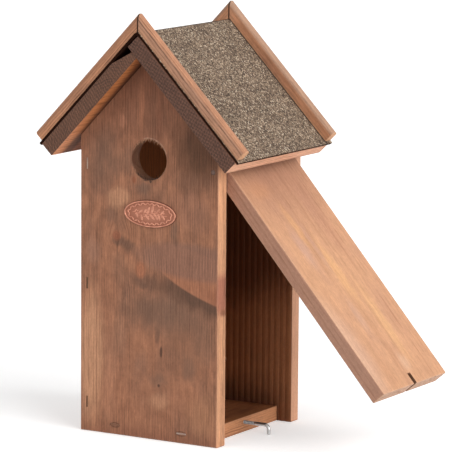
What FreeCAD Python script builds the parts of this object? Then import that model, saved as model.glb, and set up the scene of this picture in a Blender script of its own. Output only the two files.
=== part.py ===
"""Wooden bird nest box with a side door, a latch hook and a felted gable roof.

A parametric document in millimetres. +Z is up, the front faces -Y and the door is on the +X side.
The origin is in the middle of the base, on the surface that the box stands on.
"""

import FreeCAD
import Part
import Sketcher
import os
import re

Vector = FreeCAD.Vector

SIZES = {
    # Box: front and back panels with the left wall, floor and door between them
    "box_width": 127.0,
    "box_depth": 127.0,
    "panel_thick": 12.0,
    "wall_thick": 12.0,
    "floor_thick": 12.0,
    "ridge_height": 303.0,
    "entrance_radius": 16.0,
    "entrance_drop": 81.0,
    "rim_ease": 0.8,
    "edge_ease": 0.6,
    # Reeded inner face of the back panel, and its two wall screw holes
    "rib_pitch": 5.5,
    "rib_depth": 0.5,
    "rib_groove": 0.4,
    "screw_hole_radius": 2.5,
    "screw_low_height": 45.0,
    "screw_drop": 53.0,
    # Side door, hung on two nails near its top
    "door_thick": 12.5,
    "door_side_gap": 0.8,
    "door_bottom_gap": 0.4,
    "door_floor_gap": 0.3,
    "door_top_gap": 5.2,
    "door_angle": 41.0,
    "pivot_offset": 1.25,
    "pivot_drop": 20.7,
    "nail_radius": 1.1,
    "nail_head_radius": 1.9,
    "nail_head_thick": 0.7,
    "nail_grip": 18.0,
    "nail_point": 2.5,
    "nail_clearance": 0.06,
    "bore_end_gap": 1.0,
    # Latch hook, an L-shaped screw hook in the floor's edge
    "wire_radius": 1.5,
    "hook_rise": 2.0,
    "hook_arm_gap": 8.2,
    "hook_tip_gap": 0.4,
    "hook_bend": 3.4,
    "hook_grip": 16.0,
    "hook_clearance": 0.06,
    "tip_ease": 0.7,
    "thread_out": 11.0,
    "thread_pitch": 1.25,
    "thread_depth": 0.36,
    "slot_clearance": 0.7,
    # Roof boards
    "roof_slope": 46.0,
    "roof_thick": 12.5,
    "roof_overhang": 19.0,
    "right_run": 116.0,
    "left_run": 113.5,
    "wane_run": 20.0,
    "ridge_land": 6.0,
    "ridge_clear": 0.2,
    # Felt folded over the ridge
    "felt_thick": 2.2,
    "felt_lip": 1.6,
    "felt_fold": 1.2,
    "felt_inset": 0.6,
    # Capping strips on the felt
    "strip_width": 8.2,
    "strip_height": 9.4,
    "strip_flat": 1.0,
    "strip_inset": 1.8,
    "strip_short": 1.0,
    "mitre_gap": 0.5,
    # Oval plaque
    "plaque_length": 47.5,
    "plaque_tall": 21.0,
    "plaque_thick": 1.2,
    "plaque_rim": 1.5,
    "plaque_relief": 0.5,
    "plaque_drop": 42.5,
    "plaque_shift": 1.6,
    # Staples, and the shallow seats that they and the hinge nails are driven into
    "staple_crown": 8.8,
    "staple_wire": 1.1,
    "staple_leg": 26.0,
    "fastener_sink": 0.25,
    "seat_depth": 0.6,
    "seat_ease": 0.2,
    "wall_staple_low": 23.5,
    "wall_staple_top_gap": 22.3,
    "floor_staple_rise": 1.5,
    "floor_staple_inset": 32.7,
    "roof_staple_end_gap": 19.4,
    "roof_staple_pitch": 36.0,
    # Headless pins
    "pin_radius": 0.7,
    "pin_bite": 9.0,
    "pin_sink": 0.4,
    "pin_end_gap": 18.0,
    "ridge_pin_length": 30.0,
    "ridge_pin_end_gap": 22.0,
}

WALL_STAPLES = 3
RIDGE_PINS = 3

# Places worked out from the sizes, as expressions of the sheet's names
SIDE = "box_width / 2"
FRONT = "(-box_depth / 2)"
BACK = "box_depth / 2"
FRONT_INSIDE = "(panel_thick - box_depth / 2)"
BACK_INSIDE = "(box_depth / 2 - panel_thick)"
INSIDE_DEPTH = "(box_depth - 2 * panel_thick)"
EAVE_HEIGHT = "(ridge_height - box_width / 2 * tan(roof_slope))"
EAVE_ALONG = "(box_width / 2 / cos(roof_slope))"
ENTRANCE_HEIGHT = "(ridge_height - entrance_drop)"
FLOOR_EDGE = "(box_width / 2 - door_thick - door_floor_gap)"
DOOR_WIDTH = "(box_depth - 2 * panel_thick - 2 * door_side_gap)"
PIVOT_INSET = "(door_thick / 2 - pivot_offset)"
PIVOT_X = f"({SIDE} - {PIVOT_INSET})"
PIVOT_HEIGHT = f"({EAVE_HEIGHT} - pivot_drop)"
DOOR_INNER = f"({PIVOT_INSET} - door_thick)"
DOOR_BOTTOM = f"(door_bottom_gap - {PIVOT_HEIGHT})"
DOOR_TOP = "(pivot_drop - door_top_gap)"
HOOK_HEIGHT = "(floor_thick / 2 + hook_rise)"
HOOK_REACH = "(door_floor_gap + door_thick + hook_arm_gap + wire_radius)"
HOOK_DROP = f"({HOOK_HEIGHT} - hook_tip_gap)"
ROOF_LENGTH = "(box_depth + roof_overhang)"
ROOF_FRONT = "(-box_depth / 2 - roof_overhang)"
RIDGE_LAP = "((roof_thick - felt_fold) * tan(roof_slope) - ridge_clear)"
FELT_TOP = "(roof_thick + felt_thick)"
STRIP_TOP = "(roof_thick + felt_thick + strip_height)"
WALL_STAPLE_X = f"(wall_thick / 2 - {SIDE})"
WALL_STAPLE_PITCH = f"(({EAVE_HEIGHT} - wall_staple_low - wall_staple_top_gap) / {WALL_STAPLES - 1})"
FLOOR_STAPLE_HEIGHT = "(floor_thick / 2 + floor_staple_rise)"
FLOOR_STAPLE_SPREAD = "(box_width - 2 * floor_staple_inset)"
STRIP_PITCH = "(box_depth + roof_overhang - strip_inset - strip_width)"

doc = FreeCAD.newDocument("nest_box")
sheet = doc.addObject("Spreadsheet::Sheet", "Dims")
for row, (size_name, size) in enumerate(SIZES.items(), start=1):
    sheet.set(f"A{row}", size_name)
    sheet.set(f"B{row}", str(size))
    sheet.setAlias(f"B{row}", size_name)
doc.recompute()

pieces = []


def cells(expression):
    """The expression with every size name turned into a reference to the sheet."""
    return re.sub(r"[a-z_]+", lambda word: f"Dims.{word[0]}" if word[0] in SIZES else word[0], expression)


def value(expression):
    """What the expression comes to with the sheet's present sizes."""
    return float(sheet.evalExpression(cells(expression)))


def bind(thing, prop, expression):
    """Tie a property of a document object to the sheet."""
    thing.setExpression(prop, cells(expression))


def new_body(label):
    """An empty body that becomes the sub-part of this name."""
    body = doc.addObject("PartDesign::Body", label)
    body.Label = label
    pieces.append(body)
    return body


def origin_part(body, role):
    """A body's own origin plane or axis."""
    return next(part for part in body.Origin.OriginFeatures if part.Role == role)


def sketch_on(body, plane, offset, name):
    """A sketch on an origin plane of the body, moved by offset along that plane's axis.

    The XZ plane looks towards -Y, so there the offset is a place along Y and is turned round.
    """
    sketch = body.newObject("Sketcher::SketchObject", name)
    sketch.AttachmentSupport = (origin_part(body, plane), [""])
    sketch.MapMode = "FlatFace"
    bind(sketch, "AttachmentOffset.Base.z", f"-({offset})" if plane == "XZ_Plane" else offset)
    return sketch


def pin_down(sketch, geometry, end, x, y):
    """Hold one point of a sketch at a place given by two expressions."""
    for kind, expression in (("DistanceX", x), ("DistanceY", y)):
        held = sketch.addConstraint(Sketcher.Constraint(kind, -1, 1, geometry, end, value(expression)))
        bind(sketch, f"Constraints[{held}]", expression)


def outline(sketch, corners):
    """A closed straight-sided outline whose corners are pairs of expressions."""
    first = sketch.GeometryCount
    points = [Vector(value(x), value(y), 0) for x, y in corners]
    count = len(points)
    for index, point in enumerate(points):
        sketch.addGeometry(Part.LineSegment(point, points[(index + 1) % count]))
    for index in range(count):
        after = first + (index + 1) % count
        sketch.addConstraint(Sketcher.Constraint("Coincident", first + index, 2, after, 1))
    for index, (x, y) in enumerate(corners):
        pin_down(sketch, first + index, 1, x, y)
    return sketch


def rectangle(sketch, left, low, right, high):
    """A rectangle between two corners."""
    return outline(sketch, [(left, low), (right, low), (right, high), (left, high)])


def ring(sketch, x, y, radius):
    """A circle."""
    circle = sketch.addGeometry(Part.Circle(Vector(value(x), value(y), 0), Vector(0, 0, 1), value(radius)))
    pin_down(sketch, circle, 3, x, y)
    held = sketch.addConstraint(Sketcher.Constraint("Radius", circle, value(radius)))
    bind(sketch, f"Constraints[{held}]", radius)
    return sketch


def pad(body, sketch, length, name="board", backwards=False):
    """Solid material from a sketch."""
    feature = body.newObject("PartDesign::Pad", name)
    feature.Profile = sketch
    feature.Reversed = backwards
    bind(feature, "Length", length)
    doc.recompute()
    return feature


def pocket(body, sketch, depth=None, name="cut", backwards=False):
    """Material cut away under a sketch, to a depth or right through."""
    before = body.Shape.Volume
    feature = body.newObject("PartDesign::Pocket", name)
    feature.Profile = sketch
    feature.Reversed = backwards
    if depth is None:
        feature.Type = "ThroughAll"
    else:
        bind(feature, "Length", depth)
    doc.recompute()
    if body.Shape.Volume >= before:
        raise RuntimeError(f"{body.Label}: {name} removes nothing")
    return feature


def repeat(body, feature, axis, distance, count, name="row"):
    """The feature repeated in a row along an origin axis of its body."""
    pattern = body.newObject("PartDesign::LinearPattern", name)
    pattern.Originals = [feature]
    pattern.Direction = (origin_part(body, axis), [""])
    bind(pattern, "Length", distance)
    bind(pattern, "Occurrences", str(count))
    body.Tip = pattern
    doc.recompute()
    return pattern


def round_edges(body, radius, chosen, name="eased"):
    """Round the edges of the body so far that the chosen test picks out."""
    base = body.Tip
    names = [f"Edge{index}" for index, edge in enumerate(base.Shape.Edges, start=1) if chosen(edge)]
    if not names:
        raise RuntimeError(f"{body.Label}: {name} finds no edge")
    feature = body.newObject("PartDesign::Fillet", name)
    feature.Base = (base, names)
    bind(feature, "Radius", radius)
    doc.recompute()
    return feature


def is_straight(edge):
    """Whether an edge is a straight line."""
    return edge.Curve.TypeId == "Part::GeomLine"


def lies_at(edge, axis, place):
    """Whether a whole edge lies at one place along x, y or z."""
    return all(abs(getattr(vertex.Point, axis) - value(place)) < 1e-4 for vertex in edge.Vertexes)


def seat(body, x, y, z, turn_axis=None, turn=None):
    """Place a body by expressions, and turn it about an axis."""
    if turn_axis is not None:
        body.Placement = FreeCAD.Placement(Vector(), FreeCAD.Rotation(turn_axis, value(turn)))
        bind(body, "Placement.Rotation.Angle", turn)
    for letter, expression in zip("xyz", (x, y, z)):
        bind(body, f"Placement.Base.{letter}", expression)


def on_slope(side, along, above):
    """X and Z of a point on a roof slope, from the ridge line under the boards.

    side is 1 for the right slope and -1 for the left, along runs down the slope and above is square to it.
    """
    x = f"{side} * (({along}) * cos(roof_slope) + ({above}) * sin(roof_slope))"
    z = f"ridge_height - ({along}) * sin(roof_slope) + ({above}) * cos(roof_slope)"
    return x, z


def under_apex(side, from_middle, above):
    """X and Z of a point of a plumb cut beside the middle plane, above a roof slope."""
    x = f"{side} * ({from_middle})"
    z = f"ridge_height + ({above}) / cos(roof_slope) - ({from_middle}) * tan(roof_slope)"
    return x, z


def panel_blank(label, rear_face, thick):
    """A square-topped board for the front or back, as tall as the ridge."""
    body = new_body(label)
    blank = sketch_on(body, "XZ_Plane", rear_face, "blank")
    rectangle(blank, f"-{SIDE}", "0", SIDE, "ridge_height")
    pad(body, blank, thick)
    return body


def cut_gable(body, front_face):
    """Saw the two roof slopes off a panel."""
    waste = sketch_on(body, "XZ_Plane", front_face, "gable_waste")
    above = "ridge_height + panel_thick"
    slopes = [(f"-{SIDE}", EAVE_HEIGHT), ("0", "ridge_height"), (SIDE, EAVE_HEIGHT)]
    outline(waste, slopes + [(SIDE, above), (f"-{SIDE}", above)])
    pocket(body, waste, name="gable")


def cut_seats(body, outer_face, backwards=False):
    """Cut the shallow seats of a panel's staples and hinge nail into its outer face."""
    seats = sketch_on(body, "XZ_Plane", outer_face, "seat_outlines")
    half_crown = "(staple_crown / 2 + seat_ease)"
    half_wire = "(staple_wire / 2 + seat_ease)"
    heights = [f"(wall_staple_low + {row} * {WALL_STAPLE_PITCH})" for row in range(WALL_STAPLES)]
    uprights = [(WALL_STAPLE_X, height) for height in heights]
    levels = [(f"{side} * {FLOOR_STAPLE_SPREAD} / 2", FLOOR_STAPLE_HEIGHT) for side in (-1, 1)]
    for places, half_x, half_z in ((uprights, half_wire, half_crown), (levels, half_crown, half_wire)):
        for x, z in places:
            rectangle(seats, f"{x} - {half_x}", f"{z} - {half_z}", f"{x} + {half_x}", f"{z} + {half_z}")
    ring(seats, PIVOT_X, PIVOT_HEIGHT, "nail_head_radius + seat_ease")
    pocket(body, seats, "seat_depth", "seats", backwards)


def make_front_panel():
    """The front, with the round entrance."""
    body = panel_blank("front_panel", FRONT_INSIDE, "panel_thick")
    cut_gable(body, FRONT)
    entrance = sketch_on(body, "XZ_Plane", FRONT, "entrance_circle")
    ring(entrance, "0", ENTRANCE_HEIGHT, "entrance_radius")
    pocket(body, entrance, name="entrance")
    round_edges(body, "rim_ease", lambda edge: not is_straight(edge), "entrance_rim")
    round_edges(body, "edge_ease", lambda edge: is_straight(edge) and lies_at(edge, "y", FRONT))
    cut_seats(body, FRONT)


def make_back_panel():
    """The back, reeded inside and drilled for two wall screws."""
    body = panel_blank("back_panel", BACK, "panel_thick - rib_depth")
    rib_half = "(rib_pitch - rib_groove) / 2"
    rib_radius = f"(({rib_half}) ^ 2 + rib_depth ^ 2) / (2 * rib_depth)"
    count = int(value("floor(box_width / rib_pitch)"))
    span = f"({count} - 1) * rib_pitch"
    middle = f"-({span}) / 2"
    base = "box_depth / 2 - panel_thick + rib_depth"
    section = sketch_on(body, "XY_Plane", "0", "rib_section")
    left = (f"{middle} - {rib_half}", base)
    right = (f"{middle} + {rib_half}", base)
    ends = [Vector(value(x), value(y), 0) for x, y in (left, right)]
    crest = Vector(value(middle), value(BACK_INSIDE), 0)
    section.addGeometry(Part.LineSegment(ends[0], ends[1]))
    section.addGeometry(Part.Arc(ends[0], crest, ends[1]))
    pin_down(section, 0, 1, *left)
    pin_down(section, 0, 2, *right)
    for line_end in (1, 2):
        corner = section.getPoint(0, line_end)
        arc_end = min((1, 2), key=lambda end: section.getPoint(1, end).distanceToPoint(corner))
        section.addConstraint(Sketcher.Constraint("Coincident", 0, line_end, 1, arc_end))
    held = section.addConstraint(Sketcher.Constraint("Radius", 1, value(rib_radius)))
    bind(section, f"Constraints[{held}]", rib_radius)
    rib = pad(body, section, "ridge_height", "rib")
    repeat(body, rib, "X_Axis", span, count, "reeding")
    cut_gable(body, BACK_INSIDE)
    holes = sketch_on(body, "XZ_Plane", BACK_INSIDE, "screw_circles")
    for height in ("screw_low_height", "ridge_height - screw_drop"):
        ring(holes, "0", height, "screw_hole_radius")
    pocket(body, holes, name="screw_holes")
    round_edges(body, "edge_ease", lambda edge: is_straight(edge) and lies_at(edge, "y", BACK))
    cut_seats(body, BACK, backwards=True)


def make_left_wall():
    """The fixed wall between the panels."""
    body = new_body("left_wall")
    section = sketch_on(body, "XZ_Plane", BACK_INSIDE, "section")
    rectangle(section, f"-{SIDE}", "0", f"wall_thick - {SIDE}", EAVE_HEIGHT)
    pad(body, section, INSIDE_DEPTH)
    round_edges(body, "edge_ease", lambda edge: lies_at(edge, "x", f"-{SIDE}"))


def make_floor_board():
    """The floor, bored in its open edge for the latch hook."""
    body = new_body("floor_board")
    section = sketch_on(body, "XZ_Plane", BACK_INSIDE, "section")
    rectangle(section, f"wall_thick - {SIDE}", "0", FLOOR_EDGE, "floor_thick")
    pad(body, section, INSIDE_DEPTH)
    round_edges(body, "edge_ease", lambda edge: lies_at(edge, "x", FLOOR_EDGE))
    bore = sketch_on(body, "YZ_Plane", FLOOR_EDGE, "hook_circle")
    ring(bore, "0", HOOK_HEIGHT, "wire_radius + hook_clearance")
    pocket(body, bore, "hook_grip + bore_end_gap", "hook_bore")


def make_side_door():
    """The door, drawn shut about its pivot and then swung open.

    A slot in its lower end lets the hook through.
    """
    body = new_body("side_door")
    half_width = f"{DOOR_WIDTH} / 2"
    section = sketch_on(body, "XZ_Plane", half_width, "section")
    rectangle(section, DOOR_INNER, DOOR_BOTTOM, PIVOT_INSET, DOOR_TOP)
    pad(body, section, DOOR_WIDTH)
    round_edges(body, "edge_ease", is_straight)
    nail_bore = "nail_radius + nail_clearance"
    for name, place, backwards in (("front", f"-{half_width}", False), ("rear", half_width, True)):
        circle = sketch_on(body, "XZ_Plane", place, f"{name}_nail_circle")
        ring(circle, "0", "0", nail_bore)
        pocket(body, circle, "nail_grip + bore_end_gap", f"{name}_nail_bore", backwards)
    half_slot = "(wire_radius + slot_clearance)"
    slot = sketch_on(body, "YZ_Plane", PIVOT_INSET, "slot_outline")
    slot_top = f"{HOOK_HEIGHT} + {half_slot} - {PIVOT_HEIGHT}"
    rectangle(slot, f"-{half_slot}", f"{DOOR_BOTTOM} - door_bottom_gap", half_slot, slot_top)
    pocket(body, slot, name="slot")
    seat(body, PIVOT_X, "0", PIVOT_HEIGHT, Vector(0, -1, 0), "door_angle")


def make_roof_boards():
    """The two roof boards: the right one laps over the upper edge of the left one."""
    right = new_body("roof_board_right")
    section = sketch_on(right, "XZ_Plane", BACK, "section")
    square = [(f"-{RIDGE_LAP}", "0"), ("right_run", "0"), ("right_run", "roof_thick")]
    square.append((f"-{RIDGE_LAP}", "roof_thick"))
    outline(section, [on_slope(1, *corner) for corner in square])
    pad(right, section, ROOF_LENGTH)
    round_edges(right, "edge_ease", is_straight)

    left = new_body("roof_board_left")
    section = sketch_on(left, "XZ_Plane", BACK, "section")
    butt = "ridge_land / tan(2 * roof_slope)"
    waney = [("0", "0"), ("left_run", "0"), ("left_run", "roof_thick"), ("wane_run", "roof_thick")]
    waney.append((butt, "ridge_land"))
    outline(section, [on_slope(-1, *corner) for corner in waney])
    pad(left, section, ROOF_LENGTH)
    low_end = value(on_slope(-1, "left_run", "roof_thick")[0]) / 2
    round_edges(left, "edge_ease", lambda edge: is_straight(edge) and edge.CenterOfMass.x < low_end)


def make_roof_felt():
    """One sheet of roofing felt, folded over the ridge and lipped past both eaves."""
    body = new_body("roof_felt")
    section = sketch_on(body, "XZ_Plane", BACK, "section")
    right_end = "right_run + felt_lip"
    left_end = "left_run + felt_lip"
    outline(section, [
        on_slope(1, right_end, "roof_thick"),
        on_slope(1, right_end, FELT_TOP),
        under_apex(1, "0", FELT_TOP),
        on_slope(-1, left_end, FELT_TOP),
        on_slope(-1, left_end, "roof_thick"),
        under_apex(1, "0", "roof_thick"),
    ])
    pad(body, section, f"{ROOF_LENGTH} - felt_inset", "sheet")
    for name, above, radius in (("fold_top", FELT_TOP, "felt_fold + felt_thick"),
                                ("fold_under", "roof_thick", "felt_fold")):
        height = under_apex(1, "0", above)[1]
        round_edges(body, radius, lambda edge: lies_at(edge, "x", "0") and lies_at(edge, "z", height), name)


def make_capping_strips():
    """Round-topped strips that hold the felt down along the front and rear verges."""
    places = {"front": f"{ROOF_FRONT} + strip_inset + strip_width", "rear": BACK}
    sides = {"left": (-1, "left_run - strip_short"), "right": (1, "right_run - strip_short")}
    for verge, rear_face in places.items():
        for hand, (side, low_end) in sides.items():
            body = new_body(f"{verge}_strip_{hand}")
            section = sketch_on(body, "XZ_Plane", rear_face, "section")
            outline(section, [
                under_apex(side, "mitre_gap", FELT_TOP),
                on_slope(side, low_end, FELT_TOP),
                on_slope(side, low_end, STRIP_TOP),
                under_apex(side, "mitre_gap", STRIP_TOP),
            ])
            pad(body, section, "strip_width")
            top = value(under_apex(side, "mitre_gap", STRIP_TOP)[1])
            end = value(on_slope(side, low_end, STRIP_TOP)[1])
            round_edges(
                body, "min((strip_width - strip_flat) / 2; strip_height - strip_flat)",
                lambda edge: abs(edge.BoundBox.ZMax - top) < 1e-3 and abs(edge.BoundBox.ZMin - end) < 1e-3,
                "round_top")


def make_plaque():
    """An oval plate with a raised rim on the front, below the entrance."""
    def oval(name, rim, thick, height):
        edge = doc.addObject("Part::Ellipse", f"{name}_edge")
        bind(edge, "MajorRadius", f"plaque_length / 2 - {rim}")
        bind(edge, "MinorRadius", f"plaque_tall / 2 - {rim}")
        disc = doc.addObject("Part::Extrusion", name)
        disc.Base = edge
        disc.DirMode = "Custom"
        disc.Dir = Vector(0, 0, 1)
        disc.Solid = True
        bind(disc, "LengthFwd", thick)
        bind(disc, "Placement.Base.z", height)
        return disc

    blank = oval("plaque_blank", "0", "plaque_thick", "0")
    field = oval("plaque_field", "plaque_rim", "plaque_relief", "plaque_thick - plaque_relief")
    plaque = doc.addObject("Part::Cut", "oval_plaque")
    plaque.Label = "oval_plaque"
    plaque.Base = blank
    plaque.Tool = field
    plaque.Placement = FreeCAD.Placement(Vector(), FreeCAD.Rotation(Vector(1, 0, 0), 90))
    seat(plaque, "plaque_shift", FRONT, f"{ENTRANCE_HEIGHT} - plaque_drop")
    pieces.append(plaque)


def make_hinge_nails():
    """A nail through each panel into the door, on the door's pivot."""
    tip = "panel_thick + door_side_gap + nail_grip"
    for label, face, turn in (("hinge_nail_front", FRONT, 0), ("hinge_nail_rear", BACK, 180)):
        body = new_body(label)
        profile = sketch_on(body, "XY_Plane", "0", "half_profile")
        outline(profile, [
            ("0", "fastener_sink"),
            ("nail_head_radius", "fastener_sink"),
            ("nail_head_radius", "fastener_sink + nail_head_thick"),
            ("nail_radius", "fastener_sink + nail_head_thick"),
            ("nail_radius", f"{tip} - nail_point"),
            ("0", tip),
        ])
        nail = body.newObject("PartDesign::Revolution", "turned")
        nail.Profile = profile
        nail.ReferenceAxis = (profile, ["V_Axis"])
        nail.Angle = 360
        body.Placement = FreeCAD.Placement(Vector(), FreeCAD.Rotation(Vector(0, 0, 1), turn))
        seat(body, PIVOT_X, face, PIVOT_HEIGHT)


def make_latch_hook():
    """The screw hook: a threaded shank in the floor's edge, bent down into a short arm."""
    body = new_body("latch_hook")
    path = sketch_on(body, "XZ_Plane", "0", "wire_path")
    straight_end = f"{HOOK_REACH} - hook_bend"
    bend = value("hook_bend")
    centre = Vector(value(straight_end), -bend, 0)
    knee = centre + Vector(0, bend, 0)
    elbow = centre + Vector(bend, 0, 0)
    middle = centre + (Vector(1, 1, 0)).normalize() * bend
    path.addGeometry(Part.LineSegment(Vector(-value("hook_grip"), 0, 0), knee))
    path.addGeometry(Part.Arc(elbow, middle, knee))
    path.addGeometry(Part.LineSegment(elbow, Vector(value(HOOK_REACH), -value(HOOK_DROP), 0)))
    path.addConstraint(Sketcher.Constraint("Coincident", 0, 2, 1, 2))
    path.addConstraint(Sketcher.Constraint("Coincident", 1, 1, 2, 1))
    pin_down(path, 0, 1, "-hook_grip", "0")
    pin_down(path, 0, 2, straight_end, "0")
    pin_down(path, 2, 1, HOOK_REACH, "-hook_bend")
    pin_down(path, 2, 2, HOOK_REACH, f"-{HOOK_DROP}")
    held = path.addConstraint(Sketcher.Constraint("Radius", 1, bend))
    bind(path, f"Constraints[{held}]", "hook_bend")
    round_section = sketch_on(body, "YZ_Plane", "-hook_grip", "wire_section")
    ring(round_section, "0", "0", "wire_radius")
    wire = body.newObject("PartDesign::AdditivePipe", "bent_wire")
    wire.Profile = round_section
    wire.Spine = (path, [])
    doc.recompute()
    round_edges(body, "tip_ease", lambda edge: lies_at(edge, "z", f"-{HOOK_DROP}"), "arm_tip")

    thread_length = "hook_grip + thread_out"
    count = int(value(f"floor(({thread_length}) / thread_pitch)"))
    first = "thread_pitch / 2 - hook_grip"
    vee = sketch_on(body, "XZ_Plane", "0", "thread_vee")
    outline(vee, [
        (f"{first} - thread_pitch / 2", "wire_radius"),
        (first, "wire_radius - thread_depth"),
        (f"{first} + thread_pitch / 2", "wire_radius"),
        (first, "wire_radius + thread_depth"),
    ])
    groove = body.newObject("PartDesign::Groove", "thread_ring")
    groove.Profile = vee
    groove.ReferenceAxis = (vee, ["H_Axis"])
    groove.Angle = 360
    doc.recompute()
    repeat(body, groove, "X_Axis", f"({count} - 1) * thread_pitch", count, "thread")
    seat(body, FLOOR_EDGE, "0", HOOK_HEIGHT)


def staple_outline(crown_at, outside, into):
    """The U of one staple as pairs of (along the crown, along the legs)."""
    inner = f"({outside} + {into} * staple_wire)"
    leg_end = f"({outside} + {into} * (staple_leg + staple_wire))"
    half = "staple_crown / 2"
    return [
        (f"{crown_at} - {half}", outside),
        (f"{crown_at} + {half}", outside),
        (f"{crown_at} + {half}", leg_end),
        (f"{crown_at} + {half} - staple_wire", leg_end),
        (f"{crown_at} + {half} - staple_wire", inner),
        (f"{crown_at} - {half} + staple_wire", inner),
        (f"{crown_at} - {half} + staple_wire", leg_end),
        (f"{crown_at} - {half}", leg_end),
    ]


def make_panel_staples():
    """Staples through both panels into the left wall and the floor."""
    outsides = {"front": (f"({FRONT} + fastener_sink)", 1), "back": (f"({BACK} - fastener_sink)", -1)}
    for panel, (outside, into) in outsides.items():
        body = new_body(f"{panel}_wall_staples")
        upright = sketch_on(body, "YZ_Plane", f"{WALL_STAPLE_X} - staple_wire / 2", "staple")
        outline(upright, [(y, z) for z, y in staple_outline("wall_staple_low", outside, into)])
        staple = pad(body, upright, "staple_wire", "staple_body")
        repeat(body, staple, "Z_Axis", f"{WALL_STAPLES - 1} * {WALL_STAPLE_PITCH}", WALL_STAPLES)

        body = new_body(f"{panel}_floor_staples")
        level = sketch_on(body, "XY_Plane", f"{FLOOR_STAPLE_HEIGHT} - staple_wire / 2", "staple")
        outline(level, staple_outline(f"-{FLOOR_STAPLE_SPREAD} / 2", outside, into))
        staple = pad(body, level, "staple_wire", "staple_body")
        repeat(body, staple, "X_Axis", FLOOR_STAPLE_SPREAD, 2)


def make_roof_staples():
    """Staples down through each roof board into the tops of both panels."""
    low = f"({EAVE_ALONG} - roof_staple_end_gap)"
    for hand, side in (("left", -1), ("right", 1)):
        body = new_body(f"roof_staples_{hand}")
        section = sketch_on(body, "XZ_Plane", f"{BACK} - (panel_thick - staple_wire) / 2", "staples")
        for along in (low, f"({low} - roof_staple_pitch)"):
            legs = staple_outline(along, "roof_thick", -1)
            outline(section, [on_slope(side, *corner) for corner in legs])
        staples = pad(body, section, "staple_wire", "staple_bodies")
        pattern = repeat(body, staples, "Y_Axis", "box_depth - panel_thick", 2)
        pattern.Reversed = True


def make_pins():
    """Headless pins that hold the strips, and the ridge joint of the two boards."""
    strip_middle = f"{BACK} - strip_width / 2"
    for hand, side, low_end in (("left", -1, "left_run"), ("right", 1, "right_run")):
        body = new_body(f"strip_pins_{hand}")
        heads = sketch_on(body, "XY_Plane", f"{STRIP_TOP} - pin_sink", "pin_circles")
        for along in ("pin_end_gap", f"{low_end} - pin_end_gap"):
            ring(heads, f"{side} * ({along})", strip_middle, "pin_radius")
        pins = pad(body, heads, "strip_height - pin_sink + felt_thick + pin_bite", "pins", backwards=True)
        pattern = repeat(body, pins, "Y_Axis", STRIP_PITCH, 2)
        pattern.Reversed = True
        seat(body, "0", "0", "ridge_height", Vector(0, side, 0), "roof_slope")

    body = new_body("ridge_pins")
    heads = sketch_on(body, "XY_Plane", "roof_thick - pin_sink", "pin_circle")
    ring(heads, "-ridge_land / 2", f"{BACK} - ridge_pin_end_gap", "pin_radius")
    pin = pad(body, heads, "ridge_pin_length", "pin", backwards=True)
    pattern = repeat(body, pin, "Y_Axis", f"{ROOF_LENGTH} - 2 * ridge_pin_end_gap", RIDGE_PINS)
    pattern.Reversed = True
    seat(body, "0", "0", "ridge_height", Vector(0, 1, 0), "roof_slope")


def check_pieces():
    """Stop if any object failed to build or any sub-part has no sound solid."""
    for thing in doc.Objects:
        if "Invalid" in thing.State or "Error" in thing.State:
            raise RuntimeError(f"{thing.Label} failed: {thing.State}")
    for piece in pieces:
        if piece.Shape.isNull() or not piece.Shape.isValid() or not piece.Shape.Solids:
            raise RuntimeError(f"{piece.Label} has no sound solid")


def write_pieces():
    """Write each sub-part to its own file."""
    os.makedirs("parts", exist_ok=True)
    for piece in pieces:
        piece.Shape.exportStep(f"parts/{piece.Label}.step")
        print(f"{piece.Label}: {len(piece.Shape.Solids)} solids, {piece.Shape.Volume:.1f} mm3")


make_front_panel()
make_back_panel()
make_left_wall()
make_floor_board()
make_side_door()
make_roof_boards()
make_roof_felt()
make_capping_strips()
make_plaque()
make_hinge_nails()
make_latch_hook()
make_panel_staples()
make_roof_staples()
make_pins()
doc.recompute()
check_pieces()
write_pieces()
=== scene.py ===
"""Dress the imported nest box: stained softwood, mineral felt, copper plaque, zinc wire and white studio."""

import logging
from dataclasses import dataclass, replace
from enum import Enum, IntEnum
from math import atan, atan2, cos, pi, radians, sin
from typing import Optional, Sequence, Union

import bmesh
import bpy
from mathutils import Matrix, Vector


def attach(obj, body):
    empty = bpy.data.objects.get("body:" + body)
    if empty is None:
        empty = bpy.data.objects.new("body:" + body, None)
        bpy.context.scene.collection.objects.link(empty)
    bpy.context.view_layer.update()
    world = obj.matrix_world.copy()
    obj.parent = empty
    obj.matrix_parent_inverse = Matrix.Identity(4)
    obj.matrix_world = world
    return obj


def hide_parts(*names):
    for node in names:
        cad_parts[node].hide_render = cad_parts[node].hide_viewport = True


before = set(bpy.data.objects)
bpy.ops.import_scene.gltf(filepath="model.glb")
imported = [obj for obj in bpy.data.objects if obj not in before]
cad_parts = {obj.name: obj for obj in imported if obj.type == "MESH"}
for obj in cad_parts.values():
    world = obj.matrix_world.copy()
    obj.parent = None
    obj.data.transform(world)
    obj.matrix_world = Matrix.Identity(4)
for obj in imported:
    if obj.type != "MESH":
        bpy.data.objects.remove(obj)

Piece = bpy.types.Object
Shape = bmesh.types.BMesh
Socket = bpy.types.NodeSocket
Value = Union[float, Socket]
Triple = tuple[float, float, float]

LOG = logging.getLogger("nest_box")
MM = 0.001
ACROSS: Triple = (1.0, 0.0, 0.0)
DEPTH: Triple = (0.0, 1.0, 0.0)
UP: Triple = (0.0, 0.0, 1.0)
HALF: Triple = (0.5, 0.5, 0.5)
FRONT = -63.5
ENTRANCE_RADIUS = 16.0
ENTRANCE_HEIGHT = 222.0
THROUGH = 400.0
GOLDEN = 0.618
SHARP_CORNER = 38.0


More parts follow.
